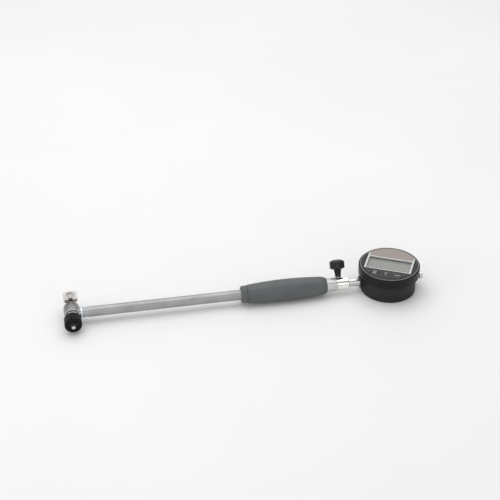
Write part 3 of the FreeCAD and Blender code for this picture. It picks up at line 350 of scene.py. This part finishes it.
# Swivel: a slippery washer, a screwed alloy ring and a stop pin let the display turn
# three quarters of the way round on the case. A flat ribbon passes up through the middle.
slippery_plastic = moulded("slippery_plastic", (0.62, 0.61, 0.57), 0.38, 1500,
                           depth=0.01 * MM, edge=0.1 * MM)
ribbon_film = moulded("ribbon_film", (0.42, 0.20, 0.05), 0.30, 2500,
                      depth=0.004 * MM, edge=0.05 * MM)
dress(slippery_plastic, "swivel_washer")
dress(alloy, "swivel_retainer")
dress(screw_steel, "swivel_screws", "swivel_stop_pin")
dress(ribbon_film, "sensor_ribbon")

# Display drum: a satin black moulding with a soft edge, and a battery drawer let into
# its wall. Both carry the same fine texture, a little brighter where hands rub it.
drum_plastic = moulded("drum_plastic", (0.007, 0.006, 0.006), 0.40, 1600,
                       depth=0.015 * MM, edge=0.35 * MM, sheen=0.22)
dress(drum_plastic, "display_housing", "battery_drawer")

# Battery: a bright steel coin cell lies in the drawer, between two contacts bent from
# spring strip.
dress(chrome, "battery_cell")
dress(spring_steel, "battery_contacts")

# Face: a charcoal film over the drum's open side, glued into a shallow rebate, with a
# fine pale ring printed just inside its edge.
FACE_R = 28.6 * MM
RING_START = FACE_R - 0.55 * MM
RING_FULL = FACE_R - 0.40 * MM
DISPLAY_TURN = math.radians(-27)
drum_low, drum_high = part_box("display_housing")
display_centre = (drum_low + drum_high) / 2
display_centre.z = 0


def reading_coordinates(tree, place):
    """The display's own u, v axes, from its middle."""
    turned = tree.nodes.new("ShaderNodeMapping")
    turned.vector_type = "TEXTURE"
    turned.inputs["Location"].default_value = display_centre
    turned.inputs["Rotation"].default_value = (0, 0, DISPLAY_TURN)
    tree.links.new(place, turned.inputs["Vector"])
    u, v, _ = split(tree, turned.outputs["Vector"])
    return u, v


def film(name, pattern, *shape):
    """Charcoal film with a fine tooth. The pattern, 0 to 1, is printed on it in pale grey."""
    material, tree, shader, place = new_finish(name, 0.0, 0.48)
    shader.inputs["Specular IOR Level"].default_value = 0.28
    patches = grain(tree, place, (160, 160, 160), 4.0)
    ground = tones(tree, patches, (0.020, 0.021, 0.0225), (0.029, 0.030, 0.032))
    u, v = reading_coordinates(tree, place)
    printed = covered(tree, ground, pattern(tree, u, v, *shape), (0.30, 0.30, 0.31))
    tree.links.new(printed, shader.inputs["Base Color"])
    tooth = grain(tree, place, (2200, 2200, 2200), 2.0)
    relief(tree, shader, tooth, depth=0.006 * MM, edge=0.1 * MM)
    return material


def ring_print(tree, u, v):
    across = tree.nodes.new("ShaderNodeCombineXYZ")
    tree.links.new(u, across.inputs["X"])
    tree.links.new(v, across.inputs["Y"])
    radius = tree.nodes.new("ShaderNodeVectorMath")
    radius.operation = "LENGTH"
    tree.links.new(across.outputs["Vector"], radius.inputs[0])
    return between(tree, radius.outputs["Value"], 0.0, 1.0, RING_START, RING_FULL)


dress(film("face_film", ring_print), "face_plate")

# Keys: three pads cut from the same film, each with a thin pale outline and a short
# marking in white ink. Pressed steel domes under them click and close the circuit.
KEY_ROW = -18.1 * MM
KEY_HALF_HEIGHT = 3.9 * MM
SIDE_KEY = 11.3 * MM
SIDE_HALF_WIDTH = 5.9 * MM
MIDDLE_HALF_WIDTH = 4.4 * MM
OUTLINE_START = -0.35 * MM
OUTLINE_FULL = -0.25 * MM
OUTLINE_STRENGTH = 0.55
PRINT_HEIGHT = 2.3 * MM
PRINT_PITCH = 2.9 * MM
INK_HALF_THICK = 0.01 * MM
INK_WELD = 0.0005 * MM


def box_distance(tree, u, v, centre, half):
    """How far a place lies outside a rectangle in u, v, in metres; negative inside."""
    sides = []
    for axis, middle, reach in zip((u, v), centre, half):
        off = maths(tree, "ABSOLUTE", maths(tree, "SUBTRACT", axis, middle))
        sides.append(maths(tree, "SUBTRACT", off, reach))
    return maths(tree, "MAXIMUM", *sides)


def key_outline(tree, u, v, centre, half):
    edge = box_distance(tree, u, v, centre, half)
    return between(tree, edge, 0.0, OUTLINE_STRENGTH, OUTLINE_START, OUTLINE_FULL)


def marking(name, words, centre, top):
    """Short lines of printed words, one above the other, lying on a key."""
    joined = bmesh.new()
    for row, word in enumerate(words):
        text = bpy.data.curves.new(f"{name}_row", "FONT")
        text.body = word
        text.size = PRINT_HEIGHT
        text.align_x = "CENTER"
        text.align_y = "CENTER"
        text.extrude = INK_HALF_THICK
        text.resolution_u = 3
        holder = bpy.data.objects.new(f"{name}_row", text)
        flat = bpy.data.meshes.new_from_object(holder)
        bpy.data.objects.remove(holder)
        rise = ((len(words) - 1) / 2 - row) * PRINT_PITCH
        on_display = Matrix.Translation((centre[0], centre[1] + rise, top))
        turned = Matrix.Translation(display_centre) @ Matrix.Rotation(DISPLAY_TURN, 4, "Z")
        flat.transform(turned @ on_display)
        joined.from_mesh(flat)
        bpy.data.meshes.remove(flat)
    bmesh.ops.remove_doubles(joined, verts=joined.verts, dist=INK_WELD)
    mesh = bpy.data.meshes.new(name)
    joined.to_mesh(mesh)
    joined.free()
    piece = bpy.data.objects.new(name, mesh)
    bpy.context.scene.collection.objects.link(piece)
    return piece


print_white = moulded("print_white", (0.80, 0.80, 0.80), 0.5, 3000,
                      depth=0.002 * MM, edge=0.01 * MM)

for key, across, half_width, words in [
        ("left_key", -SIDE_KEY, SIDE_HALF_WIDTH, ("ON", "OFF")),
        ("middle_key", 0.0, MIDDLE_HALF_WIDTH, ("mm", "in")),
        ("right_key", SIDE_KEY, SIDE_HALF_WIDTH, ("ZERO",))]:
    middle = (across, KEY_ROW)
    dress(film(f"{key}_film", key_outline, middle, (half_width, KEY_HALF_HEIGHT)), key)
    label = marking(f"{key}_marking", words, middle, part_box(key)[1].z)
    label.data.materials.append(print_white)
    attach(label, key)

dress(spring_steel, "dome_switches")

# Display surround: one satin moulding, pressed into the face. It is a warm grey panel
# above the display, with a thin bright frame round the window.
WINDOW_MIDDLE = (0.0, -0.6 * MM)
WINDOW_HALF = (21.3 * MM, 10.2 * MM)
FRAME_WIDTH = 0.85 * MM
FRAME_FADE = 0.15 * MM
SIDE_START = WINDOW_HALF[0] + 0.3 * MM
SIDE_FADE = 0.2 * MM


def panel_finish():
    material, tree, shader, place = new_finish("panel_plastic", 0.15, 0.38)
    u, v = reading_coordinates(tree, place)
    patches = grain(tree, place, (700, 700, 700), 4.0)
    panel = tones(tree, patches, (0.275, 0.238, 0.215), (0.315, 0.272, 0.245))
    side = between(tree, maths(tree, "ABSOLUTE", u), 0.0, 1.0, SIDE_START, SIDE_START + SIDE_FADE)
    edge = box_distance(tree, u, v, WINDOW_MIDDLE, WINDOW_HALF)
    rim = between(tree, edge, 1.0, 0.0, FRAME_WIDTH, FRAME_WIDTH + FRAME_FADE)
    framed = covered(tree, panel, maths(tree, "MAXIMUM", side, rim), (0.62, 0.63, 0.62))
    tree.links.new(framed, shader.inputs["Base Color"])
    texture = grain(tree, place, (1500, 1500, 1500), 2.0)
    relief(tree, shader, texture, depth=0.008 * MM, edge=0.12 * MM)
    return material


dress(panel_finish(), "display_surround")


# Display: a clear moulded window lies over a grey display glass, which is blank. Two
# strips of layered rubber join the glass to the board under it.
def clear_window():
    material, tree, shader, place = new_finish("clear_window", 0.0, 0.06)
    shader.inputs["Alpha"].default_value = 0.06
    smudge = grain(tree, place, (180, 180, 180), 5.0)
    tree.links.new(tones(tree, smudge, (0.70, 0.72, 0.70), (0.80, 0.82, 0.80)),
                   shader.inputs["Base Color"])
    tree.links.new(between(tree, smudge, 0.04, 0.12), shader.inputs["Roughness"])
    return material


def display_glass():
    material, tree, shader, place = new_finish("display_glass", 0.0, 0.30)
    shader.inputs["Coat Weight"].default_value = 0.6
    shader.inputs["Coat Roughness"].default_value = 0.08
    cloud = grain(tree, place, (60, 60, 60), 3.0)
    tree.links.new(tones(tree, cloud, (0.185, 0.183, 0.170), (0.205, 0.203, 0.188)),
                   shader.inputs["Base Color"])
    texture = grain(tree, place, (900, 900, 900))
    relief(tree, shader, texture, depth=0.002 * MM, edge=0.05 * MM)
    return material


layered_rubber = moulded("layered_rubber", (0.20, 0.08, 0.09), 0.6, 3000,
                         depth=0.02 * MM, edge=0.1 * MM)
dress(clear_window(), "lcd_window")
dress(display_glass(), "lcd_panel")
dress(layered_rubber, "zebra_strips")

# Floor: a plain pale studio surface, level with what the gauge lies on.
FLOOR_HALF = 4.0
FLOOR_MIDDLE = 0.15
floor_sheet = bmesh.new()
bmesh.ops.create_grid(floor_sheet, x_segments=1, y_segments=1, size=FLOOR_HALF)
bmesh.ops.translate(floor_sheet, verts=floor_sheet.verts, vec=(FLOOR_MIDDLE, 0, cad_low.z))
floor_mesh = bpy.data.meshes.new("floor")
floor_sheet.to_mesh(floor_mesh)
floor_sheet.free()
paint, paint_tree, paint_shader, paint_place = new_finish("floor_paint", 0.0, 0.7)
paint_tree.links.new(tones(paint_tree, grain(paint_tree, paint_place, (3, 3, 3)),
                           (0.84, 0.84, 0.84), (0.87, 0.87, 0.87)),
                     paint_shader.inputs["Base Color"])
floor_mesh.materials.append(paint)
floor = bpy.data.objects.new("floor", floor_mesh)
bpy.context.scene.collection.objects.link(floor)

# Light: a broad soft lamp overhead, a long one behind, a small one to the left and one
# in front, in an even white surround. The metal shows them as long soft bands.
LAMP_AIM = Vector((0.17, 0, 0))


def soft_lamp(name, place, size, power):
    lamp = bpy.data.lights.new(name, "AREA")
    lamp.shape = "RECTANGLE"
    lamp.size, lamp.size_y = size
    lamp.energy = power
    holder = bpy.data.objects.new(name, lamp)
    holder.location = place
    holder.rotation_euler = (LAMP_AIM - Vector(place)).to_track_quat("-Z", "Y").to_euler()
    bpy.context.scene.collection.objects.link(holder)


soft_lamp("top_lamp", (0.10, 0.30, 1.30), (2.0, 1.5), 13.0)
soft_lamp("back_lamp", (0.15, 1.70, 0.85), (2.6, 0.9), 5.0)
soft_lamp("left_lamp", (-1.30, -0.35, 0.70), (0.9, 0.9), 3.0)
soft_lamp("front_lamp", (0.25, -1.70, 0.85), (2.0, 0.8), 5.0)
world = bpy.data.worlds.new("surround")
world.use_nodes = True
surround = world.node_tree.nodes["Background"]
surround.inputs["Color"].default_value = (1.0, 1.0, 1.0, 1)
surround.inputs["Strength"].default_value = 0.50
bpy.context.scene.world = world
bpy.context.scene.view_settings.view_transform = "Standard"

# Camera: a long lens, 33 degrees above the floor and a little to the left of the
# gauge. It looks past the head, which stands left of the middle of the view and below.
CAMERA_TURN = math.radians(-10.93)
CAMERA_RISE = math.radians(33.0)
CAMERA_DISTANCE = 1.138
CAMERA_LENS = 86.47
CLIP_START = 0.01
HEAD_LEFT = 0.16866
HEAD_BELOW = 0.06017
right = Vector((math.cos(CAMERA_TURN), math.sin(CAMERA_TURN), 0))
back = Vector((math.sin(CAMERA_TURN) * math.cos(CAMERA_RISE),
               -math.cos(CAMERA_TURN) * math.cos(CAMERA_RISE), math.sin(CAMERA_RISE)))
up = back.cross(right)
lens = bpy.data.cameras.new("camera")
lens.lens = CAMERA_LENS
lens.clip_start = CLIP_START
camera = bpy.data.objects.new("camera", lens)
eye = right * HEAD_LEFT + up * HEAD_BELOW + back * CAMERA_DISTANCE
camera.matrix_world = Matrix.Translation(eye) @ Matrix((right, up, back)).transposed().to_4x4()
bpy.context.scene.collection.objects.link(camera)
bpy.context.scene.camera = camera
